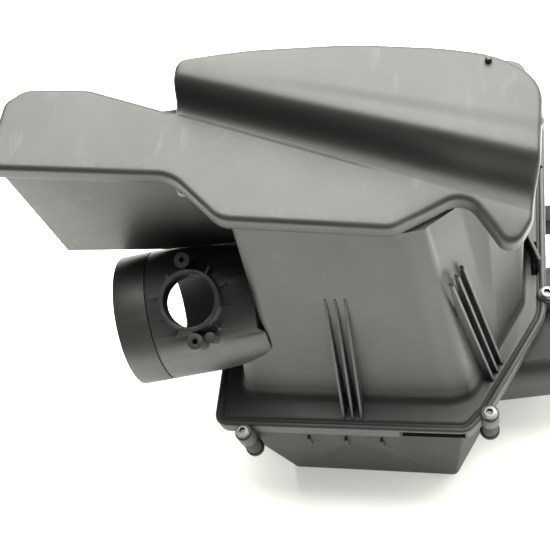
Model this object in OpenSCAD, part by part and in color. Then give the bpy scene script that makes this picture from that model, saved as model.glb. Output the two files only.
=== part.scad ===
// Air filter housing: a tray, a lift-off upper housing and a large moulded cover.
// Millimetres. Origin at the middle of the tray's flat base, +Z up, +X to the inlet.

/* [Main box] */
// Height of the tray from its base to the joint line
tray_depth = 90; // [70:1:110]
// Height of the upper housing at its left end, joint line to cover
cover_height = 165; // [150:1:175]
// Moulded wall thickness
wall = 2.6; // [2:0.1:3.2]
// Skirt that hangs over the tray rim
skirt_depth = 12; // [8:0.5:14]

/* [Cover] */
// Fall of the cover from left to right, degrees
cover_tilt = 6.56; // [4:0.1:8]
// Height of the raised rear part above the front panel
dome_rise = 20; // [10:0.5:24]
// Width of the curved step between the two levels
step_width = 23; // [16:0.5:28]
// Depth of the cover's rim
lip_depth = 10; // [6:0.5:12]
// Left end of the side lobe, measured from the joint corner
lobe_left = -92; // [-110:1:-70]

/* [Outlet] */
// Outside radius of the outlet tube
outlet_r = 41; // [36:0.5:42]
// Wall of the outlet tube
outlet_wall = 3; // [2.5:0.1:4]
// Angle of the tube away from the left-right line, degrees
outlet_yaw = 12.1; // [8:0.1:14]
// Radius of the sensor hole
sensor_r = 15.5; // [12:0.5:16]
// Distance between the two sensor screw holes
sensor_pitch = 48; // [46:0.5:50]

/* [Inlet] */
// Inlet duct width
inlet_w = 80; // [60:1:84]
// Inlet duct height
inlet_h = 46; // [36:1:50]
// Distance the loose duct reaches past the tray neck
inlet_reach = 46; // [30:1:70]

/* [Fixings] */
// Radius of the screw shank
screw_r = 3; // [2.5:0.1:3.2]
// Radius of the hole in the mounting bushes
bush_r = 4.2; // [3:0.1:5]

/* [Nodes] */

/* [Hidden] */
// joint corner to part centre
joint_x = 105;
joint_y = 120;
fit = 0.05;
gap = 0.4;
base_fn = 64;

// joint-line outline, front left corner at the origin
flange_pts = [[0, 0], [161, 1], [172, 14], [208, 79], [212, 240], [0, 240]];
// where the upper box stands on the ledge
foot_pts = [[18, 21], [149, 21], [163, 25], [178, 59], [193, 88], [196, 216], [18, 216]];
// the same box at its full height
crown_z = 185;
crown_pts = [[46, 69.5], [122, 69.5], [160, 86], [191, 90], [191, 140], [46, 143]];
// the left wall above the outlet tube, and the height of the shoulder below it
shoulder_x = 41;
shoulder_z = 46;
// tray walls at their foot
base_pts = [[30.7, -4.5], [153.6, -4.5], [170, 27.5], [190.5, 81], [191.5, 216.5], [33.5, 216.5]];
// cover outline, seen square on
cover_pts = [[lobe_left, 82.3], [12, 82], [41, 56], [128, 54.6], [163, 77.5], [182, 51],
             [189.5, 52], [195.5, 63], [199, 132], [178, 148.5], [150, 153], [103, 155],
             [50, 150.5], [9.5, 143.2], [8, 122.1], [-46, 138], [-82, 137], [lobe_left, 127]];
crest_angle = -16.4;
crest_pt = [-46, 138];

// captive screws, in joint coordinates: x, y
screw_pts = [[21.3, -4.2], [173, 13.5], [208.5, 94], [190, 243], [105, 243], [-3, 150]];
// mounting lugs: x, y and the direction of the arm
lug_pts = [[45, 259, -90], [165, 259, -90], [234, 185, 180]];
// screws that hold the cover from below: x, y in cover coordinates
cover_screw_pts = [[14.5, 86.5], [-76, 133], [194.5, 108]];
// direction from each of them to the wall that carries its lug
lug_dirs = [90, -90, 180];
function boss_z(p) = p[0] > 150 ? dome_rise - 16 : -16;

tube_end = [-46, 53, 45.3];
tube_len = 106;
spigot_r = outlet_r - 9;
sensor_at = 48;
sensor_lean = 22.5;
sensor_top = outlet_r + 8;

// places children in joint coordinates
module at_joint()
    translate([-joint_x, -joint_y, tray_depth]) children();

// places children in cover coordinates: z = 0 is the front panel's top face
module at_cover()
    at_joint() translate([0, 0, cover_height]) rotate([0, cover_tilt, 0]) children();

// places children on the tube: x runs from the open end into the box
module at_tube()
    at_joint() translate(tube_end) rotate([0, 0, outlet_yaw]) children();

// places children on the sensor seat: z is the sensor's axis, z = 0 on the tube's axis
module at_sensor()
    at_tube() translate([sensor_at, 0, 0]) rotate([sensor_lean, 0, 0]) children();

module at_inlet()
    at_joint() translate([183, 41.5, -62]) rotate([0, 0, 9]) children();

module softened(pts, outer, inner)
    offset(r = outer, $fn = 32) offset(delta = -outer)
    offset(r = -inner, $fn = 24) offset(delta = inner) polygon(pts);

module flange_2d(inset)
    offset(delta = -inset) softened(flange_pts, 6, 0.01);

// a tapering block between two outlines
module block(pts_low, z_low, pts_high, z_high, inset, r) {
    hull() {
        translate([0, 0, z_low]) linear_extrude(1)
            offset(delta = -inset) offset(r = r, $fn = 16) offset(delta = -r) polygon(pts_low);
        translate([0, 0, z_high - 1]) linear_extrude(1)
            offset(delta = -inset) offset(r = r, $fn = 16) offset(delta = -r) polygon(pts_high);
    }
}

// the main box: its left wall steps in above the shoulder that takes the outlet tube
module main_box(z_low, z_high, inset, r) {
    difference() {
        block(foot_pts, z_low, crown_pts, z_high, inset, r);
        translate([-60, -20, shoulder_z - inset]) cube([60 + shoulder_x + inset, 300, 300]);
    }
}

module round_slab(w, h, len, r) {
    rotate([90, 0, 90]) linear_extrude(len)
        offset(r = r, $fn = 32) offset(delta = -r) square([w, h]);
}

// height of the cover above the front panel at distance u behind the crest line
function step_z(u) =
    u <= 0 ? 0 :
    u >= step_width ? dome_rise :
    dome_rise * (0.5 - 0.5 * cos(180 * pow(u / step_width, 1.25))) - 2.2 * sin(180 * u / step_width)
    * (1 - u / step_width);

// a sheet that follows the two levels and the step, between two depths under the top face
module level_sheet(top, bottom) {
    steps = 18;
    curve = [for (i = [0 : steps]) [step_width * i / steps, step_z(step_width * i / steps)]];
    upper = concat([[-260, 0]], curve, [[200, dome_rise]]);
    lower = [for (i = [len(upper) - 1 : -1 : 0]) [upper[i][0], upper[i][1] - bottom]];
    raised = [for (p = upper) [p[0], p[1] - top]];
    translate([crest_pt[0], crest_pt[1], 0]) rotate([0, 0, crest_angle])
        translate([-220, 0, 0]) rotate([90, 0, 90]) linear_extrude(560)
            polygon(concat(raised, lower));
}

module cover_2d(inset)
    offset(delta = -inset) softened(cover_pts, 7, 5);

// ---------- lower tray ----------

module tray_boss(p, toward) {
    translate([p[0], p[1], -32]) cylinder(r = 5.3, h = 19.3, $fn = base_fn);
    translate([p[0], p[1], -32]) cylinder(r = 6.1, h = 3, $fn = base_fn);
    translate([p[0], p[1], -30]) rotate([0, 0, toward]) translate([0, -3.5, 0])
        cube([16, 7, 16.5]);
}

boss_dirs = [90, 117, 180, -90, -90, 0];
gusset_x = [58, 82.7, 105.8];

module lower_tray() color([0.17, 0.17, 0.17]) {
    difference() {
        union() {
            at_joint() {
                // walls
                block(base_pts, -tray_depth, flange_pts, -3.6, 4.5, 8);
                // rim under the upper housing's ledge
                translate([0, 0, -6.6]) linear_extrude(3) flange_2d(3.1);
                // lip seen through the slot in the skirt, and small gussets on the wall
                translate([121, 2.2, -12]) cube([37, 3.8, 2.6]);
                for (x = gusset_x) translate([x - 0.9, 1, -38]) cube([1.8, 4, 13]);
                for (i = [0 : len(screw_pts) - 1])
                    tray_boss(screw_pts[i], boss_dirs[i]);
            }
            at_inlet() translate([-14, 0, 0]) round_slab(inlet_w, inlet_h, 66, 12);
        }
        // inside of the tray
        at_joint() difference() {
            block(base_pts, -tray_depth + 3, flange_pts, 2, 7.1, 6);
            // seat for the filter seal
            difference() {
                translate([0, 0, -19.6]) linear_extrude(3) flange_2d(0);
                translate([0, 0, -21]) linear_extrude(6) flange_2d(23);
            }
            // drain cup
            translate([70, 60, -tray_depth]) cylinder(r = 15, h = 13, $fn = base_fn);
        }
        // duct through the neck; the boss above it stays closed
        difference() {
            at_inlet() translate([-24, wall, wall])
                round_slab(inlet_w - 2 * wall, inlet_h - 2 * wall, 90, 9.5);
            at_joint() translate([screw_pts[2][0], screw_pts[2][1], -32.6])
                cylinder(r = 6.1, h = 30, $fn = base_fn);
        }
        at_joint() {
            // drain cup seen from below, and its hole
            translate([70, 60, -tray_depth - 1]) cylinder(r = 12, h = 11, $fn = base_fn);
            translate([70, 60, -tray_depth]) cylinder(r = 5, h = 20, $fn = base_fn);
            // room for the ears, then the insert and screw holes
            for (p = screw_pts) {
                translate([p[0], p[1], -12.4]) cylinder(r = 6.3, h = 14, $fn = base_fn);
                translate([p[0], p[1], -31.2]) cylinder(r = 4, h = 19, $fn = base_fn);
                translate([p[0], p[1], -34]) cylinder(r = 3.4, h = 19, $fn = base_fn);
            }
        }
    }
}

// three arms welded to the tray's walls, each with a grommet hole
module mounting_arms() color([0.17, 0.17, 0.17])
    at_joint() difference() {
        for (l = lug_pts) translate([l[0], l[1], -68]) {
            cylinder(r = 13, h = 20, $fn = base_fn);
            rotate([0, 0, l[2]]) translate([0, -7, 0]) cube([44, 14, 20]);
        }
        for (l = lug_pts) translate([l[0], l[1], -69])
            cylinder(r = 9.5, h = 22, $fn = base_fn);
        block(base_pts, -tray_depth, flange_pts, -3.6, 4.45, 8);
    }

module threaded_inserts() color([0.72, 0.58, 0.32])
    at_joint() for (p = screw_pts) translate([p[0], p[1], -31.2]) difference() {
        cylinder(r = 4, h = 18.4, $fn = base_fn);
        translate([0, 0, -1]) cylinder(r = screw_r + fit, h = 22, $fn = base_fn);
    }

module drain_valve() color([0.08, 0.08, 0.08])
    at_joint() translate([70, 60, -tray_depth]) difference() {
        union() {
            translate([0, 0, 13.05]) cylinder(r = 9, h = 2, $fn = base_fn);
            translate([0, 0, 2]) cylinder(r = 4.95, h = 12, $fn = base_fn);
            translate([0, 0, 7.5]) cylinder(r = 8, h = 2.4, $fn = base_fn);
        }
        translate([0, 0, 4]) cylinder(r = 3.4, h = 13, $fn = base_fn);
        translate([-4, -0.3, 1]) cube([8, 0.6, 4]);
    }

module mount_grommets() color([0.07, 0.07, 0.07])
    at_joint() for (l = lug_pts) translate([l[0], l[1], -71]) difference() {
        union() {
            cylinder(r = 12.5, h = 2.95, $fn = base_fn);
            cylinder(r = 9.45, h = 26, $fn = base_fn);
            translate([0, 0, 23.05]) cylinder(r = 12.5, h = 2.95, $fn = base_fn);
        }
        translate([0, 0, -1]) cylinder(r = 6.1, h = 30, $fn = base_fn);
    }

module mount_bushes() color([0.6, 0.6, 0.62])
    at_joint() for (l = lug_pts) translate([l[0], l[1], -71.6]) difference() {
        union() {
            cylinder(r = 6.05, h = 27.2, $fn = base_fn);
            translate([0, 0, -1.4]) cylinder(r = 10, h = 1.8, $fn = base_fn);
        }
        translate([0, 0, -2]) cylinder(r = bush_r, h = 32, $fn = base_fn);
    }

// ---------- inlet ----------

module inlet_duct() color([0.18, 0.18, 0.17])
    at_inlet() difference() {
        union() {
            translate([42, wall + 0.9, wall + 0.9])
                round_slab(inlet_w - 2 * wall - 1.8, inlet_h - 2 * wall - 1.8, inlet_reach + 8, 9);
            translate([53.5, -1, -1]) round_slab(inlet_w + 2, inlet_h + 2, 3.5, 13);
            translate([46 + inlet_reach, -2, -2]) round_slab(inlet_w + 4, inlet_h + 4, 6, 15);
        }
        translate([30, wall + 3.3, wall + 3.3])
            round_slab(inlet_w - 2 * wall - 6.6, inlet_h - 2 * wall - 6.6, inlet_reach + 40, 7);
    }

module inlet_seal() color([0.06, 0.06, 0.06])
    at_inlet() translate([44, wall + 0.05, wall + 0.05]) difference() {
        round_slab(inlet_w - 2 * wall - 0.1, inlet_h - 2 * wall - 0.1, 7, 9.5);
        translate([-1, 0.8, 0.8])
            round_slab(inlet_w - 2 * wall - 1.7, inlet_h - 2 * wall - 1.7, 10, 9);
    }

// ---------- filter ----------

pleat_pitch = 5.6;

module filter_media() color([0.88, 0.84, 0.7])
    at_joint() intersection() {
        translate([24, 22, 0]) rotate([90, 0, 90]) translate([0, 0, 0]) linear_extrude(170)
            polygon(concat(
                [for (i = [0 : 72]) [i * pleat_pitch / 2, i % 2 == 0 ? -33 : -8]],
                [for (i = [72 : -1 : 0]) [i * pleat_pitch / 2, (i % 2 == 0 ? -33 : -8) + 1.8]]));
        translate([0, 0, -50]) linear_extrude(50) flange_2d(25.2);
    }

module filter_seal() color([0.1, 0.1, 0.1])
    at_joint() difference() {
        union() {
            translate([0, 0, -16.2]) linear_extrude(12.8) flange_2d(15.2);
            translate([0, 0, -34]) linear_extrude(19) flange_2d(23.4);
        }
        translate([0, 0, -50]) linear_extrude(60) flange_2d(25.2);
    }

module filter_beads() color([0.85, 0.8, 0.6])
    at_joint() for (x = [48, 84, 120, 156])
        translate([x, x > 150 ? 62 : 28, -6.15]) cube([2.4, x > 150 ? 150 : 184, 1.6]);

// ---------- upper housing ----------

// small lug under one of the cover's bosses
module cover_lug(i) at_cover()
    translate([cover_screw_pts[i][0], cover_screw_pts[i][1], boss_z(cover_screw_pts[i]) - 3.4])
        difference() {
            union() {
                cylinder(r = 4, h = 3, $fn = base_fn);
                rotate([0, 0, lug_dirs[i]]) translate([0, -4, 0]) cube([i == 2 ? 6 : 3.4, 8, 3]);
            }
            translate([0, 0, -1]) cylinder(r = 1.9, h = 6, $fn = 32);
        }

module under_cover(drop)
    at_cover() level_sheet(drop, 260);

module front_rib(x) {
    translate([x + 0.8, 0, 0]) rotate([90, 0, -90]) linear_extrude(1.6)
        polygon([[-5.5, -1], [-26, -1], [-45, 84], [-41.5, 84]]);
}

module right_rib(p) {
    translate([p[0], p[1], 0]) rotate([0, 0, 146]) translate([0, 0.8, 0])
        rotate([90, 0, 0]) linear_extrude(1.6)
            polygon([[0, -1], [16, -1], [29, 99], [25, 99]]);
}

module upper_housing() color([0.19, 0.19, 0.19]) {
    difference() {
        union() {
            // four-sided shell, closed under the cover
            intersection() {
                at_joint() main_box(-2.8, crown_z, 0, 9);
                under_cover(lip_depth + gap);
            }
            at_joint() {
                // ledge and skirt
                translate([0, 0, -skirt_depth]) linear_extrude(skirt_depth) flange_2d(0);
                for (x = [84.8, 90.4, 96]) front_rib(x);
                for (p = [[176.5, 34.5], [179.2, 40], [181.9, 45.5]]) right_rib(p);
                // diagonal stop on the ledge, right
                translate([205.5, 112, -1]) rotate([0, 0, 110]) cube([25, 2.2, 15]);
            }
        }
        // inside of the shell
        intersection() {
            at_joint() main_box(-4, crown_z + 1, wall, 7);
            under_cover(lip_depth + gap + wall);
        }
        at_joint() {
            // room for the tray rim, and the slot in the skirt
            translate([0, 0, -skirt_depth - 5]) linear_extrude(skirt_depth + 2.2)
                flange_2d(2.5);
            translate([119, -2, -skirt_depth - 1]) cube([41, 12, 9.6]);
            // way through to the side chamber
            translate([20, 98, 100]) cube([30, 26, 36]);
            // pocket in the ledge, right
            translate([199.5, 108, -5]) cube([4, 25, 8]);
            for (p = screw_pts) translate([p[0], p[1], -20])
                cylinder(r = 5, h = 30, $fn = base_fn);
        }
        // room for the cover's boss, right
        at_cover() translate([cover_screw_pts[2][0], cover_screw_pts[2][1], -8])
            cylinder(r = 4.4, h = 44, $fn = base_fn);
        // outlet hole
        at_tube() translate([45, 0, 0]) rotate([0, 90, 0])
            cylinder(r = spigot_r + 2, h = 64, $fn = 96);
    }
    cover_lug(2);
    // ears for the captive screws
    at_joint() for (p = screw_pts) translate([p[0], p[1], -skirt_depth + 0.3])
        difference() {
            cylinder(r = 5.7, h = skirt_depth + 0.7, $fn = base_fn);
            translate([0, 0, -1]) cylinder(r = 4.4, h = skirt_depth + 4, $fn = base_fn);
        }
}

module screw_sleeves() color([0.62, 0.62, 0.64])
    at_joint() for (p = screw_pts) translate([p[0], p[1], -skirt_depth + 0.4]) difference() {
        cylinder(r = 4.35, h = skirt_depth + 0.6, $fn = base_fn);
        translate([0, 0, -1]) cylinder(r = screw_r + fit, h = skirt_depth + 4, $fn = base_fn);
    }

// ---------- side chamber ----------

module side_chamber() color([0.19, 0.19, 0.19]) {
    chamber_shell();
    cover_lug(0);
    cover_lug(1);
}

module chamber_shell() difference() {
    intersection() {
        at_joint() translate([lobe_left + 3.4, 88, 75]) cube([48 - lobe_left, 43, 120]);
        under_cover(lip_depth + gap);
    }
    // hollow
    difference() {
        intersection() {
            at_joint() translate([lobe_left + 3.4 + wall, 88 + wall, 75 + wall])
                cube([70 - lobe_left, 43 - 2 * wall, 120]);
            under_cover(lip_depth + gap + wall);
        }
        at_tube() translate([-20, 0, 0]) rotate([0, 90, 0])
            cylinder(r = outlet_r + 0.3 + wall, h = 200, $fn = 96);
    }
    // saddle over the outlet tube
    at_tube() translate([-20, 0, 0]) rotate([0, 90, 0])
        cylinder(r = outlet_r + 0.3, h = 200, $fn = 96);
    // stops at the main shell
    at_joint() main_box(-2.8, crown_z, -0.1, 9);
    // room for the cover's bosses and the heads of its screws
    at_cover() for (p = cover_screw_pts) translate([p[0], p[1], -24])
        cylinder(r = 4.4, h = 44, $fn = base_fn);
}

// ---------- top cover ----------

module top_cover() color([0.2, 0.2, 0.2]) at_cover() {
    difference() {
        union() {
            intersection() {
                translate([0, 0, -40]) linear_extrude(90) cover_2d(0);
                level_sheet(0, wall);
            }
            intersection() {
                translate([0, 0, -40]) linear_extrude(90) difference() {
                    cover_2d(0);
                    cover_2d(wall);
                }
                level_sheet(0.1, lip_depth);
            }
            for (p = cover_screw_pts) translate([p[0], p[1], boss_z(p)])
                cylinder(r = 4, h = 15, $fn = base_fn);
        }
        for (p = cover_screw_pts) translate([p[0], p[1], boss_z(p) - 1])
            cylinder(r = 1.55, h = 13, $fn = 32);
    }
    // small locating post on the rear rim
    translate([172, 144, dome_rise - 0.5]) cylinder(r = 1.8, h = 3.2, $fn = 32);
}

module cover_screws() color([0.55, 0.55, 0.56])
    at_cover() for (p = cover_screw_pts) translate([p[0], p[1], boss_z(p)]) difference() {
        union() {
            translate([0, 0, -6.4]) cylinder(r = 3.8, h = 2.8, $fn = 48);
            translate([0, 0, -4]) cylinder(r = 1.5, h = 15, $fn = 32);
        }
        translate([0, 0, -7]) cylinder(r = 1.6, h = 2.2, $fn = 6);
    }

// ---------- outlet ----------

module outlet_tube() color([0.18, 0.18, 0.18]) {
    difference() {
        union() {
            // the tube as far as the housing wall
            difference() {
                at_tube() rotate([0, 90, 0]) {
                    cylinder(r = outlet_r, h = 50, $fn = 128);
                    translate([0, 0, 50]) cylinder(r1 = outlet_r, r2 = outlet_r - 2.6, h = 36, $fn = 128);
                }
                at_joint() main_box(-2.8, crown_z, -0.1, 9);
            }
            // spigot through the wall
            at_tube() translate([52, 0, 0]) rotate([0, 90, 0])
                cylinder(r = spigot_r, h = tube_len - 52, $fn = 96);
            at_sensor() {
                translate([0, 0, 30]) cylinder(r = sensor_r + 2.6, h = sensor_top - 30, $fn = 96);
                for (s = [-1, 1]) translate([0, s * sensor_pitch / 2, 20])
                    cylinder(r = 4.6, h = sensor_top - 20, $fn = base_fn);
                translate([8.2, -sensor_pitch / 2 + 0.8, 20])
                    cylinder(r = 3.2, h = sensor_top - 23, $fn = base_fn);
                for (a = [0 : 36 : 359])
                    rotate([0, 0, a + 18]) translate([sensor_r + 2, -0.8, 26])
                        cube([5.4, 1.6, sensor_top - 34]);
                for (s = [-1, 1]) translate([-1, s > 0 ? sensor_r + 1 : -sensor_pitch / 2, 26])
                    cube([2, sensor_pitch / 2 - sensor_r - 1, sensor_top - 28]);
            }
            // small fin under the tube
            at_tube() translate([38, -0.8, -outlet_r - 2.6]) cube([26, 1.6, 5]);
        }
        at_tube() translate([-1, 0, 0]) rotate([0, 90, 0])
            cylinder(r = outlet_r - outlet_wall, h = 62, $fn = 128);
        at_tube() translate([-1, 0, 0]) rotate([0, 90, 0])
            cylinder(r = spigot_r - 2.5, h = tube_len + 2, $fn = 96);
        // seat of the end ring
        at_tube() translate([-1, 0, 0]) rotate([0, 90, 0]) difference() {
            cylinder(r = outlet_r + 2, h = 21.5, $fn = 128);
            translate([0, 0, -1]) cylinder(r = outlet_r - 1.2, h = 25, $fn = 128);
        }
        at_sensor() {
            cylinder(r = sensor_r, h = 80, $fn = 96);
            for (s = [-1, 1]) translate([0, s * sensor_pitch / 2, sensor_top - 9]) {
                cylinder(r = 3, h = 6.5, $fn = base_fn);
                cylinder(r = 1.65, h = 12, $fn = base_fn);
            }
        }
        at_tube() end_window();
    }
}

// keying window in the low rear side of the tube's end; the hose covers it
module end_window()
    rotate([-50, 0, 0]) translate([0, 45, 0]) rotate([90, 0, 0]) linear_extrude(20)
        offset(r = 5, $fn = 32) offset(delta = -5)
            translate([10.5, -20]) square([12, 40]);

module outlet_ring() color([0.21, 0.21, 0.2])
    at_tube() difference() {
        rotate([0, 90, 0]) cylinder(r = outlet_r, h = 19.6, $fn = 128);
        translate([-1, 0, 0]) rotate([0, 90, 0]) cylinder(r = outlet_r - 1.15, h = 30, $fn = 128);
        end_window();
    }

module outlet_seal() color([0.05, 0.05, 0.05])
    intersection() {
        at_tube() translate([50, 0, 0]) rotate([0, 90, 0]) difference() {
            cylinder(r = spigot_r + 1.95, h = 56, $fn = 96);
            translate([0, 0, -1]) cylinder(r = spigot_r + 0.05, h = 60, $fn = 96);
        }
        at_joint() difference() {
            main_box(-2.8, crown_z, 0, 9);
            main_box(-4, crown_z + 1, wall + 1.5, 7);
        }
    }

module flow_grid() color([0.16, 0.16, 0.16])
    at_tube() translate([tube_len - 9, 0, 0]) rotate([0, 90, 0]) {
        difference() {
            cylinder(r = spigot_r - 2.55, h = 7, $fn = 96);
            translate([0, 0, -1]) cylinder(r = spigot_r - 4.5, h = 10, $fn = 96);
        }
        intersection() {
            cylinder(r = spigot_r - 3.5, h = 7, $fn = 96);
            union() for (k = [-3 : 3]) {
                translate([k * 7.4 - 0.5, -45, 0]) cube([1, 90, 7]);
                translate([-45, k * 7.4 - 0.5, 0]) cube([90, 1, 7]);
            }
        }
    }

module sensor_inserts() color([0.75, 0.6, 0.33])
    at_sensor() for (s = [-1, 1])
        translate([0, s * sensor_pitch / 2, sensor_top - 8.9]) difference() {
            cylinder(r = 2.95, h = 6.35, $fn = base_fn);
            translate([0, 0, 1]) cylinder(r = 1.7, h = 10, $fn = base_fn);
        }

module edge_clip() color([0.1, 0.1, 0.1])
    at_joint() translate([203.5, 192, -9]) {
        translate([0, 0, 9]) cube([6, 12, 1.6]);
        translate([0, 3, 10]) cube([3, 6, 7]);
    }

// ---------- captive screws ----------

module captive_screw(i) color([0.66, 0.66, 0.67])
    at_joint() translate([screw_pts[i][0], screw_pts[i][1], 0]) difference() {
        union() {
            translate([0, 0, -29]) cylinder(r = screw_r, h = 32, $fn = base_fn);
            translate([0, 0, 1.3]) cylinder(r = 4.6, h = 1.2, $fn = base_fn);
            translate([0, 0, 2]) cylinder(r = 3.9, h = 2.6, $fn = base_fn);
        }
        translate([0, 0, 2.4]) cylinder(r = 2.3, h = 5, $fn = 6);
    }

module captive_screw_front_left() captive_screw(0);
module captive_screw_front_right() captive_screw(1);
module captive_screw_right() captive_screw(2);
module captive_screw_right_rear() captive_screw(3);
module captive_screw_rear() captive_screw(4);
module captive_screw_left() captive_screw(5);

lower_tray();
mounting_arms();
threaded_inserts();
drain_valve();
mount_grommets();
mount_bushes();
inlet_duct();
inlet_seal();
filter_media();
filter_seal();
filter_beads();
upper_housing();
side_chamber();
top_cover();
cover_screws();
screw_sleeves();
outlet_tube();
outlet_ring();
outlet_seal();
flow_grid();
sensor_inserts();
edge_clip();
captive_screw_front_left();
captive_screw_front_right();
captive_screw_right();
captive_screw_right_rear();
captive_screw_rear();
captive_screw_left();
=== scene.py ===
"""Air filter housing: the looks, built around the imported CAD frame. Shapes are in millimetres in
the part's own local frames, and are placed in metres in the CAD frame."""

import math

import bmesh
import bpy
import numpy as np
from mathutils import Matrix, Vector
from mathutils.geometry import delaunay_2d_cdt


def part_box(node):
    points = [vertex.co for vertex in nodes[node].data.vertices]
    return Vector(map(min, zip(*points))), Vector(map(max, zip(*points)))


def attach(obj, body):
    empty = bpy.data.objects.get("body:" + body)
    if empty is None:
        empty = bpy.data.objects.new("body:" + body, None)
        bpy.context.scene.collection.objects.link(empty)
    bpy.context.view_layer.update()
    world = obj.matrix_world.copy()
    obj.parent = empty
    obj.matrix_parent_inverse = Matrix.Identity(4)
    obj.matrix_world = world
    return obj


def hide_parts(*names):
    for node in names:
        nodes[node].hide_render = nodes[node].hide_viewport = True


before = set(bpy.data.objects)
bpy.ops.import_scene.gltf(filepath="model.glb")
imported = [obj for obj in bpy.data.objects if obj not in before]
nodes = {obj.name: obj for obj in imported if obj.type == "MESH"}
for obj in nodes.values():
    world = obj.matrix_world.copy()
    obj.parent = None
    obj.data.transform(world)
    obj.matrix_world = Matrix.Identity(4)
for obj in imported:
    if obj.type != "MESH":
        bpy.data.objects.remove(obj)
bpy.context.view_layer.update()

# ---------------------------------------------------------------- frames
MM = 0.001


def move(x, y, z):
    return Matrix.Translation((x, y, z))


def turn(degrees, axis):
    return Matrix.Rotation(math.radians(degrees), 4, axis)


# the joint frame: origin at the ledge's front left corner, on the joint line
FLOOR_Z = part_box("lower_tray")[0].z
JOINT = move(-0.105, -0.120, FLOOR_Z + 0.090) @ Matrix.Scale(MM, 4)
COVER = JOINT @ move(0, 0, 165) @ turn(6.56, "Y")
TUBE = JOINT @ move(-46, 53, 45.3) @ turn(12.1, "Z")
COVER_INV = COVER.inverted()

# ---------------------------------------------------------------- mesh helpers


def rounded(points, radii, arc=10, run=None, step=None):
    """A closed outline with an arc at each corner. With run, every side gets that many points."""
    pts = [Vector(p) for p in points]
    n = len(pts)
    radii = radii if hasattr(radii, "__len__") else [radii] * n
    arcs = []
    for i in range(n):
        p0, p1, p2 = pts[i - 1], pts[i], pts[(i + 1) % n]
        a, b = (p0 - p1), (p2 - p1)
        room = 0.48 * min(a.length, b.length)
        a.normalize()
        b.normalize()
        bend = math.pi - a.angle(b)
        if bend < 1e-3:
            arcs.append([p1.copy()] * (arc + 1))
            continue
        reach = radii[i] * math.tan(bend / 2)
        r = radii[i] * min(1, room / reach) if reach > 0 else 0
        reach = r * math.tan(bend / 2)
        centre = p1 + (a + b).normalized() * (r / math.cos(bend / 2))
        s, e = p1 + a * reach - centre, p1 + b * reach - centre
        if r < 1e-6:
            arcs.append([p1.copy()] * (arc + 1))
            continue
        arcs.append([centre + (s * math.sin((1 - k / arc) * bend) + e * math.sin(k / arc * bend))
                     / math.sin(bend) for k in range(arc + 1)])
    out = []
    for i in range(n):
        out += arcs[i]
        s, e = arcs[i][-1], arcs[(i + 1) % n][0]
        count = run if run is not None else max(1, int((e - s).length / (step or 3)))
        out += [s.lerp(e, k / count) for k in range(1, count)]
    return np.array([[p.x, p.y] for p in out])


def even(loop, step):
    """The same closed outline with evenly spaced points."""
    apart = np.linalg.norm(np.diff(loop, axis=0), axis=1) > 1e-6
    loop = loop[np.concatenate([[True], apart])]
    closed = np.vstack([loop, loop[:1]])
    seg = np.linalg.norm(np.diff(closed, axis=0), axis=1)
    at = np.concatenate([[0], np.cumsum(seg)])
    n = int(at[-1] / step)
    t = np.linspace(0, at[-1], n, endpoint=False)
    return np.stack([np.interp(t, at, closed[:, 0]), np.interp(t, at, closed[:, 1])], 1)


def normals_2d(loop):
    """Outward unit normals of a closed counter-clockwise outline."""
    d = np.roll(loop, -1, 0) - np.roll(loop, 1, 0)
    d /= np.maximum(np.linalg.norm(d, axis=1, keepdims=True), 1e-9)
    return np.stack([d[:, 1], -d[:, 0]], 1)


def area_2d(loop):
    x, y = loop[:, 0], loop[:, 1]
    return 0.5 * np.sum(x * np.roll(y, -1) - np.roll(x, -1) * y)


def row(loop, z):
    """An outline at a height: z is one number or one for each point."""
    return np.column_stack([loop, np.broadcast_to(z, len(loop))])


def loft(rows, close_start=True, close_end=True, ring=False):
    """A mesh through rows of points, each a closed loop of the same length."""
    n, m = len(rows[0]), len(rows)
    verts = np.vstack(rows)
    faces = []
    pairs = [(k, (k + 1) % m) for k in range(m if ring else m - 1)]
    for a, b in pairs:
        for i in range(n):
            j = (i + 1) % n
            faces.append((a * n + i, a * n + j, b * n + j, b * n + i))
    if not ring and close_start:
        verts = np.vstack([verts, rows[0].mean(0)])
        c = len(verts) - 1
        faces += [((i + 1) % n, i, c) for i in range(n)]
    if not ring and close_end:
        verts = np.vstack([verts, rows[-1].mean(0)])
        c = len(verts) - 1
        base = (m - 1) * n
        faces += [(base + i, base + (i + 1) % n, c) for i in range(n)]
    return verts, faces


def inside(points, loop):
    """Which of the points lie inside a closed outline."""
    x, y = points[:, 0][:, None], points[:, 1][:, None]
    x0, y0 = loop[:, 0][None], loop[:, 1][None]
    x1, y1 = np.roll(loop[:, 0], -1)[None], np.roll(loop[:, 1], -1)[None]
    cross = ((y0 > y) != (y1 > y)) & (x < (x1 - x0) * (y - y0) / (y1 - y0 + 1e-12) + x0)
    return cross.sum(1) % 2 == 1


def cap(loop, grid, height, margin=0.9):
    """Fills an outline with triangles over grid points inside it. The outline's own points
    come first, so a loft can share them. Returns points and faces."""
    near = grid[inside(grid, loop)]
    if len(near):
        best = np.full(len(near), 1e9)
        for k in range(0, len(loop), 64):
            d = near[:, None] - loop[None, k:k + 64]
            best = np.minimum(best, np.sqrt((d ** 2).sum(2)).min(1))
        near = near[best > margin]
    pts = np.vstack([loop, near])
    n = len(loop)
    edges = [(i, (i + 1) % n) for i in range(n)]
    _, _, faces, source, _, _ = delaunay_2d_cdt([Vector(p) for p in pts], edges, [], 1, 1e-7)
    back = [o[0] if o else -1 for o in source]
    tri = [tuple(back[i] for i in face) for face in faces]
    tri = [t for t in tri if -1 not in t and len(set(t)) == 3]
    return np.column_stack([pts, height(pts[:, 0], pts[:, 1])]), tri


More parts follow.
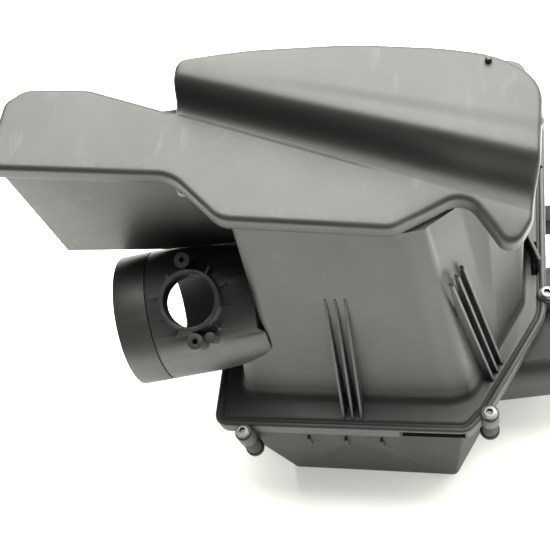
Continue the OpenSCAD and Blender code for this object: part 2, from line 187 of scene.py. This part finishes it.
def shut(rows, grid, height, there=Matrix.Identity(4)):
    """A loft through rows, closed by a sheet that starts from the last row. The matrix there
    takes the rows to the frame that the grid and the height are in."""
    v, f = loft(rows, False, False)
    count = len(rows[0])
    back = np.array(there.inverted())
    there = np.array(there)
    edge = rows[-1] @ there[:3, :3].T + there[:3, 3]
    sheet, faces = cap(edge[:, :2], grid, height)
    base = len(v) - count
    f += [tuple(base + i if i < count else len(v) + i - count for i in t) for t in faces]
    return np.vstack([v, sheet[count:] @ back[:3, :3].T + back[:3, 3]]), f


def joined_skins(outer, inner, count):
    """One solid from an outer and an inner skin, joined along their first rows of count points."""
    (verts, faces), (more, more_faces) = outer, inner
    start = len(verts)
    faces = faces + [tuple(start + i for i in face) for face in more_faces]
    faces += [(i, (i + 1) % count, start + (i + 1) % count, start + i) for i in range(count)]
    return np.vstack([verts, more]), faces


def mesh_object(name, verts, faces, matrix, smooth=38):
    """A cleaned mesh in metres, from points in a local frame."""
    mesh = bpy.data.meshes.new(name)
    mesh.from_pydata([tuple(v) for v in verts], [], [tuple(f) for f in faces])
    obj = bpy.data.objects.new(name, mesh)
    bpy.context.scene.collection.objects.link(obj)
    bm = bmesh.new()
    bm.from_mesh(mesh)
    bmesh.ops.remove_doubles(bm, verts=bm.verts, dist=1e-5)
    bmesh.ops.dissolve_degenerate(bm, edges=bm.edges, dist=1e-6)
    bmesh.ops.recalc_face_normals(bm, faces=bm.faces)
    bm.to_mesh(mesh)
    bm.free()
    mesh.transform(matrix)
    finish_mesh(obj, smooth)
    return obj


def finish_mesh(obj, smooth=38):
    """Smooth shading with sharp edges past an angle in degrees."""
    mesh = obj.data
    mesh.update()
    mesh.polygons.foreach_set("use_smooth", [True] * len(mesh.polygons))
    mesh.set_sharp_from_angle(angle=math.radians(smooth))


def apply_modifiers(obj):
    """Makes the modifiers' result the object's own mesh."""
    depsgraph = bpy.context.evaluated_depsgraph_get()
    new = bpy.data.meshes.new_from_object(obj.evaluated_get(depsgraph))
    obj.modifiers.clear()
    old = obj.data
    obj.data = new
    bpy.data.meshes.remove(old)


def weld(obj, reach=1.5e-6):
    """Closes up slivers and points that all but coincide, in metres."""
    bm = bmesh.new()
    bm.from_mesh(obj.data)
    bmesh.ops.remove_doubles(bm, verts=bm.verts, dist=reach)
    bmesh.ops.dissolve_degenerate(bm, edges=bm.edges, dist=reach)
    bm.to_mesh(obj.data)
    bm.free()


def combine(obj, others, how, smooth=38):
    """Joins, cuts or intersects closed solids into obj, and removes them."""
    for o in others:
        m = obj.modifiers.new("b", "BOOLEAN")
        m.operation, m.object, m.solver = how, o, "MANIFOLD"
    apply_modifiers(obj)
    weld(obj)
    for o in others:
        old = o.data
        bpy.data.objects.remove(o)
        bpy.data.meshes.remove(old)
    finish_mesh(obj, smooth)
    return obj


def bevel(obj, width, segments=2, angle=35, smooth=38):
    """Rounds every edge that is sharper than an angle, by a width in millimetres."""
    m = obj.modifiers.new("bv", "BEVEL")
    m.width, m.segments, m.limit_method = width * MM, segments, "ANGLE"
    m.angle_limit, m.use_clamp_overlap = math.radians(angle), True
    apply_modifiers(obj)
    finish_mesh(obj, smooth)
    return obj


def lathe(name, profile, matrix, steps=96, smooth=38):
    """A turned piece about local z, from (radius, z) points. A profile that starts and ends on
    the axis has flat ends; any other is a ring."""
    a = np.linspace(0, 2 * math.pi, steps, endpoint=False)
    circle = np.stack([np.cos(a), np.sin(a)], 1)
    open_ends = profile[0][0] < 1e-6 and profile[-1][0] < 1e-6
    if open_ends:
        profile = profile[1:-1]
    rows = [row(circle * r, z) for r, z in profile]
    v, f = loft(rows, open_ends, open_ends, not open_ends)
    return mesh_object(name, v, f, matrix, smooth)


def prism(name, points, low, high, matrix, edge=0.0, smooth=38):
    """A straight solid over a polygon in local xy."""
    loop = np.array(points, float)
    if area_2d(loop) < 0:
        loop = loop[::-1]
    n = len(loop)
    verts = np.vstack([row(loop, low), row(loop, high)])
    faces = [tuple(range(n - 1, -1, -1)), tuple(range(n, 2 * n))]
    faces += [(i, (i + 1) % n, n + (i + 1) % n, n + i) for i in range(n)]
    obj = mesh_object(name, verts, faces, matrix, smooth)
    return bevel(obj, edge) if edge else obj


def turned_profile(points, radius=0.5, seg=3):
    """Rounds the corners of an (r, z) profile that closes on itself."""
    pts = rounded(points, radius, arc=seg, run=1)
    return [tuple(p) for p in pts]


# ---------------------------------------------------------------- outlines, mm, joint frame
FLANGE = [(0, 0), (161, 1), (172, 14), (190.1, 46.4), (208, 79), (212, 240), (0, 240)]
FOOT = [(18, 21), (149, 21), (163, 25), (178, 59), (193, 88), (196, 216), (18, 216)]
CROWN_Z = 185
CROWN = [(46, 69.5), (122, 69.5), (135, 75.1), (160, 86), (191, 90), (191, 140), (46, 143)]
SCREWS = {"front_left": (21.3, -4.2), "front_right": (173, 13.5), "right": (208.5, 94),
          "right_rear": (190, 243), "rear": (105, 243), "left": (-3, 150)}
RIM = 10.0  # height of the cover's edge
WALL = 2.6
SKIRT = 12.0  # depth of the housing's skirt below the ledge

# ---------------------------------------------------------------- cover surface
CREST = np.array([-46.0, 138.0])
CREST_ANGLE = math.radians(-16.4)
ALONG = np.array([math.cos(CREST_ANGLE), math.sin(CREST_ANGLE)])
ACROSS = np.array([-ALONG[1], ALONG[0]])
DOME = 20.0


def ease(t):
    t = np.clip(t, 0, 1)
    return t * t * (3 - 2 * t)


def soft_step(t, centre, width):
    return 1 / (1 + np.exp(-(t - centre) / width))


def cover_height(x, y):
    """Height of the cover's top above the front panel's plane, in cover coordinates."""
    x, y = np.asarray(x, float), np.asarray(y, float)
    s = (x - CREST[0]) * ALONG[0] + (y - CREST[1]) * ALONG[1]
    u = (x - CREST[0]) * ACROSS[0] + (y - CREST[1]) * ACROSS[1]
    # t runs from 0 at the step's foot to 1 at its top, and the step is wider to the right
    t = np.maximum(u, 0) / (12.0 + 0.095 * np.clip(s, 0, 260))
    right = ease((s - 80) / 90)
    # a soft foot, a steep middle, then a long shallow roll on to the plateau
    middle, spread, end = 0.42, 0.066, 1.1
    low, high = soft_step(0.0, middle, spread), soft_step(end, middle, spread)
    steep = np.clip((soft_step(np.minimum(t, end), middle, spread) - low) / (high - low), 0, 1)
    left_rise = 0.30 * (1 - np.exp(-((t / 0.75) ** 1.3))) / 0.93 + 0.70 * steep
    right_rise = 0.12 * np.clip(t / 0.4, 0, 1) + 0.83 * steep + 0.05 * ease((t - 0.88) / 0.3)
    rise = DOME * np.minimum(left_rise * (1 - right) + right_rise * right, 1.0)
    # a fine raised line along the panel's free edge, fading before the tongue
    line = 0.45 * np.exp(-((u + 0.5) / 0.55) ** 2) * ease((185 - s) / 30)
    # the tongue at the right droops towards its tip
    droop = -3.2 * ease((s - 188) / 30) * ease(-u / 24)
    return np.where(t > 0, rise, 0.0) + line + droop


def under_cover(points):
    """Depth of joint-frame points below the cover's top, measured along the cover's own z."""
    m = np.array(COVER_INV @ JOINT)
    p = points @ m[:3, :3].T + m[:3, 3]
    return cover_height(p[:, 0], p[:, 1]) - p[:, 2]


def crest_grid(fine):
    """Points in rows along the crest, closer together over the step."""
    panel, line = np.arange(-110, -3, 3.4), np.arange(-2.4, 1.4, 0.42)
    step, plateau = np.arange(2.2, 46, fine), np.arange(47, 110, 3)
    across = np.concatenate([panel, line, step, plateau])
    u, s = np.meshgrid(across, np.arange(-60, 270, 2.6))
    return CREST + s.reshape(-1, 1) * ALONG + u.reshape(-1, 1) * ACROSS


COVER_OUTLINE = [(-92, 82.3), (12, 82), (41, 56), (128, 54.6), (163, 77.5), (182, 51),
                 (189.5, 52), (195.5, 63), (199, 132), (178, 148.5), (150, 153), (103, 155),
                 (50, 150.5), (9.5, 143.2), (8.0, 122.1), (-46, 138), (-82, 137), (-92, 127)]
COVER_RADII = [8, 22, 16, 13, 11, 7, 8, 12, 30, 60, 150, 200, 150, 7, 1.2, 40, 12, 9]


def lug(x, y, low):
    """A round boss with a screw hole, under the cover."""
    profile = turned_profile([(1.55, low), (4, low), (4, low + 14.4), (1.55, low + 14.4)], 0.3)
    return lathe("lug", profile, COVER @ move(x, y, 0), 48)


def rear_post():
    """A small round-topped post on the plateau."""
    profile = [(0, -2), (1.8, -2), (1.8, 2.0), (1.5, 2.5), (1.0, 2.7), (0, 2.7)]
    return lathe("post", profile, COVER @ move(172, 143.2, DOME), 32)


def build_cover():
    """The cover: a rounded rim round a curved sheet, with its underside and lugs."""
    outer = even(rounded(COVER_OUTLINE, COVER_RADII, arc=14, step=2), 1.3)
    inward = -normals_2d(outer)

    def at(inset, depth):
        p = outer + inward * inset
        return row(p, cover_height(p[:, 0], p[:, 1]) - depth)

    edge = 3.2  # radius of the rounded edge
    rim = [at(1.2, RIM), at(0.35, RIM - 0.25), at(0, RIM - 0.9), at(0, 6.5)]
    rim += [at(edge * (1 - math.cos(a)), edge * (1 - math.sin(a))) for a in np.radians(range(0, 105, 15))]
    lining = [at(WALL - 0.4, RIM), at(WALL, RIM - 0.4), at(WALL, 6.5), at(WALL + 0.3, WALL + 1.1),
              at(WALL + 1.4, WALL)]
    top = shut(rim, crest_grid(1.15), cover_height)
    underside = shut(lining, crest_grid(2.3)[::2], lambda x, y: cover_height(x, y) - WALL)
    v, f = joined_skins(top, underside, len(outer))
    cover = mesh_object("cover_shell", v, f, COVER)
    lugs = [lug(14.5, 86.5, -16), lug(-76, 133, -16), lug(194.5, 108, DOME - 16)]
    return combine(cover, lugs + [rear_post()], "UNION")


# ---------------------------------------------------------------- upper housing


def foot_loop(run=14):
    return rounded(FOOT, [9, 14, 30, 60, 16, 9, 9], arc=10, run=run)


def crown_loop(run=14):
    return rounded(CROWN, [9, 30, 60, 60, 10, 9, 9], arc=10, run=run)


def flange_loop(run=14):
    return rounded(FLANGE, [8.5, 12, 16, 3000, 30, 8.5, 8.5], arc=10, run=run)


def wall_at(z, inset=0.0):
    """The shell's outline at a height, with one z for each point or one for all."""
    foot, crown = foot_loop(), crown_loop()
    z = np.broadcast_to(z, len(foot)).astype(float)
    t = (z / CROWN_Z)[:, None]
    p = foot * (1 - t) + crown * t
    # the left wall steps in above the shoulder that takes the outlet tube
    low, high = 18 + 28 * z / CROWN_Z, 150.0
    shift = (41.2 - low) * ease((z - 37) / 13)
    p[:, 0] += shift * np.clip(1 - (p[:, 0] - low) / (high - low), 0, 1)
    return row(p - normals_2d(p) * inset, z)


def shell_top(depth, inset):
    """Heights at which the shell's outline meets a surface at that depth under the cover."""
    low, high = np.full(len(foot_loop()), 60.0), np.full(len(foot_loop()), 190.0)
    for _ in range(24):
        mid = (low + high) / 2
        deep = under_cover(wall_at(mid, inset)) > depth
        low, high = np.where(deep, mid, low), np.where(deep, high, mid)
    return (low + high) / 2


GAP = 0.5  # between the cover's rim and the shell's roof
FILLET = 4.0  # at the shell's foot
UNDER_LEDGE = -2.9  # underside of the ledge


def outer_rows():
    """The housing's outside, from the inside of the skirt over the ledge and up the shell."""
    flange = flange_loop()
    inward = -normals_2d(flange)
    foot = foot_loop()
    outward = normals_2d(foot)
    skirt = [(2.5, UNDER_LEDGE), (2.5, 0.6 - SKIRT), (1.9, -SKIRT), (0.6, -SKIRT), (0, 0.6 - SKIRT), (0, -7)]
    bead = [(0, -1.9), (0.25, -0.95), (0.8, -0.3), (1.5, 0.0), (2.6, 0.1)]
    groove = [(3.6, -0.15), (4.3, -0.9), (5.0, -1.0), (5.7, -0.5), (6.5, -0.05), (7.5, 0.0)]
    rows = [row(flange + inward * inset, z) for inset, z in skirt + bead + groove]
    for degrees in range(0, 105, 15):
        a = math.radians(degrees)
        rows.append(row(foot + outward * FILLET * (1 - math.sin(a)), FILLET * (1 - math.cos(a))))
    top = shell_top(RIM + GAP, 0)
    steps = 46
    return rows + [wall_at(FILLET + (top - FILLET) * k / steps) for k in range(1, steps + 1)]


def inner_rows():
    """The shell's inside, a wall's thickness in, from under the ledge upwards."""
    foot = foot_loop()
    top = shell_top(RIM + GAP + WALL, WALL)
    steps = 12
    lowest = row(foot - normals_2d(foot) * WALL, UNDER_LEDGE)
    return [lowest] + [wall_at(top * k / steps, WALL) for k in range(steps + 1)]


def roofed(rows, depth):
    """A loft through rows, closed by a roof at that depth under the cover's surface."""
    return shut(rows, crest_grid(2.3)[::2], lambda x, y: cover_height(x, y) - depth, COVER_INV @ JOINT)


def front_rib(x):
    across = Matrix(((0, 0, 1, x - 0.8), (1, 0, 0, 0), (0, 1, 0, 0), (0, 0, 0, 1)))
    return prism("rib", [(6.4, -0.6), (25, -0.6), (47, 92), (44.8, 92)], 0, 1.6, JOINT @ across, 0.45)


def right_rib(x, y):
    place = JOINT @ move(x, y, 0) @ turn(146, "Z") @ move(0, 0.8, 0) @ turn(90, "X")
    return prism("rib", [(0.6, -0.6), (16, -0.6), (29, 99), (26.4, 99)], 0, 1.6, place, 0.45)


def ear(x, y):
    """A sleeve's seat for a captive screw, with a soft rim."""
    profile = turned_profile([(4.37, 0.3 - SKIRT), (5.7, 0.3 - SKIRT), (5.7, 1.0), (4.37, 1.0)], 0.45)
    return lathe("ear", profile, JOINT @ move(x, y, 0), 64)


def peg(name, radius, low, high, place, steps):
    """A round cutter."""
    return lathe(name, [(0, low), (radius, low), (radius, high), (0, high)], place, steps)


def build_housing():
    """The upper housing: skirt, ledge, tapering shell and roof, with ribs, ears and holes."""
    outside = roofed(outer_rows(), RIM + GAP)
    inside_skin = roofed(inner_rows(), RIM + GAP + WALL)
    v, f = joined_skins(outside, inside_skin, len(foot_loop()))
    body = mesh_object("housing_shell", v, f, JOINT)

    parts = [front_rib(x) for x in (84.8, 90.4, 96)]
    parts += [right_rib(x, y) for x, y in ((176.5, 34.5), (179.2, 40), (181.9, 45.5))]
    parts += [ear(x, y) for x, y in SCREWS.values()]
    parts.append(prism("stop", [(0, 0), (25, 0), (25, 2.2), (0, 2.2)], -1, 14,
                       JOINT @ move(205.5, 112, 0) @ turn(110, "Z"), 0.5))
    holes = [peg("hole", 4.6, -20, 10, JOINT @ move(x, y, 0), 64) for x, y in SCREWS.values()]
    cuts = [prism("slot", [(119, -2), (160, -2), (160, 6), (119, 6)], -14, -2.0, JOINT, 0.8),
            prism("pocket", [(199.5, 108), (203.5, 108), (203.5, 133), (199.5, 133)], -6, 3, JOINT, 0.5),
            prism("way", [(22, 98), (44, 98), (44, 124), (22, 124)], 100, 132, JOINT, 2.0),
            peg("bore", 34, 45, 109, TUBE @ turn(90, "Y"), 96),
            peg("boss", 4.4, -6, 38, COVER @ move(194.5, 108, 0), 48)]
    combine(body, holes, "DIFFERENCE")
    combine(body, cuts, "DIFFERENCE")
    combine(body, parts, "UNION")
    return body


# ---------------------------------------------------------------- materials


def clear_nodes(name):
    """A new material with only a Principled shader and its output."""
    mat = bpy.data.materials.new(name)
    mat.use_nodes = True
    tree = mat.node_tree
    tree.nodes.clear()
    out = tree.nodes.new("ShaderNodeOutputMaterial")
    shader = tree.nodes.new("ShaderNodeBsdfPrincipled")
    tree.links.new(shader.outputs[0], out.inputs[0])
    return mat, tree, shader


def add(tree, kind, **values):
    """A new node, with values for its inputs or its settings."""
    node = tree.nodes.new(kind)
    for key, value in values.items():
        if key in node.inputs:
            node.inputs[key].default_value = value
        else:
            setattr(node, key, value)
    return node


def noise(tree, coords, scale, detail=3.0, rough=0.55, stretch=None):
    source = coords
    if stretch:
        mapping = add(tree, "ShaderNodeMapping")
        mapping.inputs["Scale"].default_value = stretch
        tree.links.new(coords, mapping.inputs[0])
        source = mapping.outputs[0]
    node = add(tree, "ShaderNodeTexNoise", Scale=scale, Detail=detail, Roughness=rough)
    tree.links.new(source, node.inputs["Vector"])
    return node.outputs["Fac"]


def span(tree, value, low, high, to_low, to_high):
    """Maps one range of values on to another."""
    node = add(tree, "ShaderNodeMapRange")
    node.inputs["From Min"].default_value, node.inputs["From Max"].default_value = low, high
    node.inputs["To Min"].default_value, node.inputs["To Max"].default_value = to_low, to_high
    tree.links.new(value, node.inputs["Value"])
    return node.outputs["Result"]


def mix_colour(tree, fac, a, b):
    node = add(tree, "ShaderNodeMix", data_type="RGBA")
    if hasattr(fac, "is_output"):
        tree.links.new(fac, node.inputs[0])
    else:
        node.inputs[0].default_value = fac
    for socket, value in ((node.inputs[6], a), (node.inputs[7], b)):
        if hasattr(value, "is_output"):
            tree.links.new(value, socket)
        else:
            socket.default_value = (*value, 1.0)
    return node.outputs[2]


def math_node(tree, how, a, b=None):
    node = add(tree, "ShaderNodeMath", operation=how)
    for i, v in enumerate((a, b)):
        if v is None:
            continue
        if hasattr(v, "is_output"):
            tree.links.new(v, node.inputs[i])
        else:
            node.inputs[i].default_value = v
    return node.outputs[0]


def plastic(name, tone, rough=0.5, grain=1.0, wear=0.25, specular=0.5):
    """Moulded plastic: a fine spark-eroded grain, faint flow marks, scuffs and rubbed edges."""
    mat, tree, shader = clear_nodes(name)
    coords = add(tree, "ShaderNodeTexCoord").outputs["Object"]
    geometry = add(tree, "ShaderNodeNewGeometry")
    cloud = noise(tree, coords, 14, 4)
    fine = noise(tree, coords, 1500, 2, 0.6)
    pores = noise(tree, coords, 3600, 1, 0.5)
    scuff = noise(tree, coords, 95, 6, 0.7, (1.0, 0.22, 0.6))
    dark = tuple(c * 0.90 for c in tone)
    light = tuple(c * 1.10 for c in tone)
    base = mix_colour(tree, span(tree, cloud, 0.35, 0.65, 0, 1), dark, light)
    speck = span(tree, fine, 0.35, 0.7, 0, 0.22)
    base = mix_colour(tree, speck, base, tuple(min(1, c * 1.7) for c in tone))
    edge = span(tree, geometry.outputs["Pointiness"], 0.515, 0.60, 0, wear)
    base = mix_colour(tree, edge, base, tuple(min(1, c * 2.0 + 0.02) for c in tone))
    tree.links.new(base, shader.inputs["Base Color"])
    marks = span(tree, scuff, 0.56, 0.74, 0, 0.11)
    spots = span(tree, cloud, 0.3, 0.7, rough - 0.045, rough + 0.045)
    r = math_node(tree, "SUBTRACT", spots, marks)
    r = math_node(tree, "ADD", r, span(tree, fine, 0.3, 0.7, -0.03, 0.03))
    tree.links.new(r, shader.inputs["Roughness"])
    shader.inputs["Specular IOR Level"].default_value = specular
    shader.inputs["IOR"].default_value = 1.5
    height = math_node(tree, "ADD", fine, math_node(tree, "MULTIPLY", pores, 0.45))
    height = math_node(tree, "ADD", height, math_node(tree, "MULTIPLY", noise(tree, coords, 320, 2), 0.5))
    bump = add(tree, "ShaderNodeBump", Strength=0.28 * grain, Distance=0.00012)
    tree.links.new(height, bump.inputs["Height"])
    tree.links.new(bump.outputs[0], shader.inputs["Normal"])
    return mat


def metal(name, tone, rough=0.3, spread=0.1, brushed=(1, 1, 6)):
    """Plated or plain metal with fine machining lines, dull patches and painted shade in its recesses."""
    mat, tree, shader = clear_nodes(name)
    coords = add(tree, "ShaderNodeTexCoord").outputs["Object"]
    geometry = add(tree, "ShaderNodeNewGeometry")
    cloud = noise(tree, coords, 160, 5, 0.65)
    lines = noise(tree, coords, 900, 3, 0.6, brushed)
    base = mix_colour(tree, span(tree, cloud, 0.3, 0.7, 0, 1), tuple(c * 0.82 for c in tone), tone)
    # painted shade: concave places, where pointiness is low, are darkened towards a third of the tone
    painted_recess_shade = span(tree, geometry.outputs["Pointiness"], 0.42, 0.5, 0.55, 0)
    base = mix_colour(tree, painted_recess_shade, base, tuple(c * 0.3 for c in tone))
    tree.links.new(base, shader.inputs["Base Color"])
    shader.inputs["Metallic"].default_value = 1.0
    r = math_node(tree, "ADD", span(tree, cloud, 0.3, 0.7, rough - spread, rough + spread),
                  span(tree, lines, 0.3, 0.7, -0.05, 0.05))
    tree.links.new(r, shader.inputs["Roughness"])
    bump = add(tree, "ShaderNodeBump", Strength=0.25, Distance=0.00005)
    tree.links.new(lines, bump.inputs["Height"])
    tree.links.new(bump.outputs[0], shader.inputs["Normal"])
    return mat


def rubber(name, tone, rough=0.62):
    """Matt rubber, foam or set glue: cloudy bloom over a fine grain."""
    mat, tree, shader = clear_nodes(name)
    coords = add(tree, "ShaderNodeTexCoord").outputs["Object"]
    cloud = noise(tree, coords, 60, 4)
    fine = noise(tree, coords, 2200, 2)
    bloom = noise(tree, coords, 25, 6, 0.7)
    base = mix_colour(tree, span(tree, bloom, 0.5, 0.75, 0, 0.35), tone, tuple(c * 3 + 0.015 for c in tone))
    tree.links.new(base, shader.inputs["Base Color"])
    tree.links.new(span(tree, cloud, 0.3, 0.7, rough - 0.08, rough + 0.1), shader.inputs["Roughness"])
    bump = add(tree, "ShaderNodeBump", Strength=0.3, Distance=0.0001)
    tree.links.new(fine, bump.inputs["Height"])
    tree.links.new(bump.outputs[0], shader.inputs["Normal"])
    return mat


def paper(name, tone):
    """Filter paper: crossed fibres and faint stains."""
    mat, tree, shader = clear_nodes(name)
    coords = add(tree, "ShaderNodeTexCoord").outputs["Object"]
    fibres = noise(tree, coords, 700, 5, 0.75, (0.25, 1.0, 1.0))
    cross = noise(tree, coords, 900, 4, 0.7, (1.0, 0.3, 1.0))
    stain = noise(tree, coords, 18, 5, 0.6)
    base = mix_colour(tree, span(tree, fibres, 0.3, 0.7, 0, 1), tuple(c * 0.86 for c in tone), tone)
    base = mix_colour(tree, span(tree, stain, 0.5, 0.8, 0, 0.35), base, (0.36, 0.31, 0.22))
    tree.links.new(base, shader.inputs["Base Color"])
    shader.inputs["Roughness"].default_value = 0.9
    shader.inputs["Specular IOR Level"].default_value = 0.2
    bump = add(tree, "ShaderNodeBump", Strength=0.5, Distance=0.00015)
    tree.links.new(math_node(tree, "ADD", fibres, cross), bump.inputs["Height"])
    tree.links.new(bump.outputs[0], shader.inputs["Normal"])
    return mat


def matte_floor(name, tone):
    """A plain matt floor with hardly any pattern."""
    mat, tree, shader = clear_nodes(name)
    coords = add(tree, "ShaderNodeTexCoord").outputs["Object"]
    cloud = noise(tree, coords, 3, 3)
    base = mix_colour(tree, cloud, tuple(c * 0.99 for c in tone), tone)
    tree.links.new(base, shader.inputs["Base Color"])
    shader.inputs["Roughness"].default_value = 0.85
    shader.inputs["Specular IOR Level"].default_value = 0.2
    return mat


GREY = (0.019, 0.019, 0.0175)
MATS = {
    "housing": plastic("moulded_grey", GREY, 0.5),
    "cover": plastic("cover_grey", tuple(c * 1.04 for c in GREY), 0.48, 1.1),
    "tray": plastic("tray_black", tuple(c * 0.55 for c in GREY), 0.52, 1.15, specular=0.26),
    "duct": plastic("duct_black", tuple(c * 0.85 for c in GREY), 0.5, 1.0),
    "outlet": plastic("outlet_grey", tuple(c * 0.9 for c in GREY), 0.46, 0.9),
    "grid": plastic("grid_black", tuple(c * 0.6 for c in GREY), 0.45, 0.6),
    "brass": metal("brass_insert", (0.17, 0.125, 0.07), 0.42),
    "zinc": metal("zinc_steel", (0.26, 0.26, 0.25), 0.4),
    "screw": metal("screw_steel", (0.20, 0.20, 0.19), 0.42),
    "rubber": rubber("black_rubber", (0.018, 0.018, 0.018)),
    "foam": rubber("seal_foam", (0.05, 0.05, 0.052), 0.85),
    "paper": paper("pleated_paper", (0.70, 0.63, 0.45)),
    "glue": rubber("hot_glue", (0.62, 0.56, 0.38), 0.4),
}


def paint(obj, mat):
    obj.data.materials.clear()
    obj.data.materials.append(MATS[mat])


def dress(node, mat):
    """Gives a CAD node a finished material through its own slots."""
    obj = nodes[node]
    if not obj.material_slots:
        obj.data.materials.append(MATS[mat])
    for s in obj.material_slots:
        s.material = MATS[mat]


CAD_FINISH = {
    "tray": ("lower_tray", "mounting_arms"),
    "brass": ("threaded_inserts", "sensor_inserts"),
    "rubber": ("drain_valve", "mount_grommets", "inlet_seal", "outlet_seal"),
    "zinc": ("mount_bushes", "cover_screws", "screw_sleeves"),
    "duct": ("inlet_duct",),
    "paper": ("filter_media",),
    "foam": ("filter_seal",),
    "glue": ("filter_beads",),
    "housing": ("upper_housing", "side_chamber"),
    "cover": ("top_cover",),
    "outlet": ("outlet_tube", "outlet_ring"),
    "grid": ("flow_grid", "edge_clip"),
    "screw": tuple("captive_screw_" + name for name in SCREWS),
}
for finish, names in CAD_FINISH.items():
    for name in names:
        dress(name, finish)


def stand_for(obj, body, slot, mat, *cad):
    """A finished piece that rides on a body in place of CAD nodes."""
    paint(obj, mat)
    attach(obj, body)
    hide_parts(*cad)
    return obj


def soften(node, body, slot, mat, width=0.5, adds=(), cuts=(), segments=2, angle=32):
    """A finished copy of a CAD node: flat faces joined up and every edge rounded over."""
    source = nodes[node]
    obj = bpy.data.objects.new(node + "_finished", source.data.copy())
    bpy.context.scene.collection.objects.link(obj)
    obj.data.transform(source.matrix_world)
    bm = bmesh.new()
    bm.from_mesh(obj.data)
    bmesh.ops.remove_doubles(bm, verts=bm.verts, dist=2e-6)
    bmesh.ops.dissolve_limit(bm, angle_limit=math.radians(1.0), verts=bm.verts, edges=bm.edges)
    bm.to_mesh(obj.data)
    bm.free()
    obj.data.update()
    if adds:
        combine(obj, adds, "UNION")
    if cuts:
        combine(obj, cuts, "DIFFERENCE")
    bevel(obj, width, segments, angle)
    weld(obj)
    finish_mesh(obj)
    return stand_for(obj, body, slot, mat, node)


stand_for(build_cover(), "upper", "cover_plastic", "cover", "top_cover")
# a pocket in the tray's front wall behind the slot, with its own back wall
pocket_wall = prism("pad", [(117, 4.6), (161, 4.6), (161, 12), (117, 12)], -23.5, -7.2, JOINT)
pocket = prism("pocket", [(119.6, -4), (158.4, -4), (158.4, 9.2), (119.6, 9.2)], -20.5, -3.0, JOINT)
soften("lower_tray", "tray", "tray_plastic", "tray", 0.9, [pocket_wall], [pocket])
# node, body, slot, material and the width of its rounded edges
SOFTENED = (
    ("mounting_arms", "tray", "tray_plastic", "tray", 0.8),
    ("inlet_duct", "tray", "duct_plastic", "duct", 0.8),
    ("side_chamber", "upper", "housing_plastic", "housing", 0.8),
    ("outlet_tube", "upper", "outlet_plastic", "outlet", 0.5),
    ("outlet_ring", "upper", "outlet_plastic", "outlet", 0.35),
    ("edge_clip", "upper", "clip_plastic", "grid", 0.3),
    ("drain_valve", "tray", "black_rubber", "rubber", 0.3),
    ("mount_grommets", "tray", "black_rubber", "rubber", 0.6),
    ("mount_bushes", "tray", "zinc_steel", "zinc", 0.3),
    ("filter_seal", "filter", "seal_foam", "foam", 0.8),
)
for piece in SOFTENED:
    soften(*piece)


def build_screw(x, y):
    """A captive screw: threaded shank, washer face and rounded head with a hexagon recess."""
    root, crest, ridges = 2.56, 2.97, 17
    shank = [(0, -29), (2.1, -29), (2.6, -28.4)]
    for k in range(ridges):
        shank += [(root, -28.0 + k), (crest, -27.55 + k), (crest, -27.4 + k)]
    neck = [(2.6, -10.8), (crest, -10.2), (crest, 1.35)]
    washer = [(4.35, 1.35), (4.58, 1.55), (4.58, 2.25), (4.35, 2.5)]
    head = [(3.95, 2.55), (3.88, 2.8), (3.88, 4.1), (3.7, 4.45), (3.35, 4.58), (0, 4.58)]
    place = JOINT @ move(x, y, 0)
    screw = lathe("screw", shank + neck + washer + head, place, 56, 30)
    corners = [math.radians(60 * k) for k in range(6)]
    recess = prism("recess", [(2.25 * math.cos(a), 2.25 * math.sin(a)) for a in corners], 2.2, 6, place)
    return combine(screw, [recess], "DIFFERENCE", 30)


for name, (x, y) in SCREWS.items():
    stand_for(build_screw(x, y), "screw_" + name, "screw_steel", "screw", "captive_screw_" + name)
stand_for(build_housing(), "upper", "housing_plastic", "housing", "upper_housing")

# ---------------------------------------------------------------- floor, light, camera


FLOOR_HALF = 3.0
LIGHT_COLOUR = (1.0, 1.005, 0.94)
# name: place, target, size and watts. The low lamps light only the floor beside the object,
# which then lights its walls.
LAMPS = {
    "rear_box": ((0.12, 0.88, 1.37), (0.05, 0.10, 0.1), (2.3, 1.6), 141),
    "front_floor": ((0.1, -0.75, 0.10), (0.1, -0.75, 0.0), (1.8, 0.9), 20),
    "right_floor": ((0.75, 0.10, 0.10), (0.75, 0.10, 0.0), (0.9, 1.4), 44),
    "left_floor": ((-0.75, 0.0, 0.10), (-0.75, 0.0, 0.0), (0.6, 1.3), 10),
}


def floor():
    mesh = bpy.data.meshes.new("floor")
    half, z = FLOOR_HALF, FLOOR_Z - 0.0002
    corners = [(-half, -half, z), (half, -half, z), (half, half, z), (-half, half, z)]
    mesh.from_pydata(corners, [], [(0, 1, 2, 3)])
    obj = bpy.data.objects.new("floor", mesh)
    bpy.context.scene.collection.objects.link(obj)
    mesh.materials.append(matte_floor("floor_white", (0.90, 0.90, 0.89)))


def area_light(name, place, target, size, watts):
    data = bpy.data.lights.new(name, "AREA")
    data.shape = "RECTANGLE"
    data.size, data.size_y = size
    data.energy, data.color = watts, LIGHT_COLOUR
    obj = bpy.data.objects.new(name, data)
    obj.location = place
    obj.rotation_euler = (Vector(target) - Vector(place)).to_track_quat("-Z", "Y").to_euler()
    bpy.context.scene.collection.objects.link(obj)


def studio():
    scene = bpy.context.scene
    world = bpy.data.worlds.new("studio")
    world.use_nodes = True
    background = world.node_tree.nodes["Background"]
    background.inputs[0].default_value = (1, 1, 0.95, 1)
    background.inputs[1].default_value = 0.3
    scene.world = world
    scene.view_settings.view_transform = "Standard"
    for name, lamp in LAMPS.items():
        area_light(name, *lamp)


def camera():
    """The photograph's view: from the front and above, a little to the right."""
    data = bpy.data.cameras.new("photo_view")
    data.lens, data.sensor_width, data.clip_end = 55.64, 36, 20
    obj = bpy.data.objects.new("photo_view", data)
    obj.location = (0.06709, -0.27988, 0.59579)
    obj.rotation_euler = [math.radians(a) for a in (28.681, 12.512, 6.408)]
    bpy.context.scene.collection.objects.link(obj)
    bpy.context.scene.camera = obj


floor()
studio()
camera()
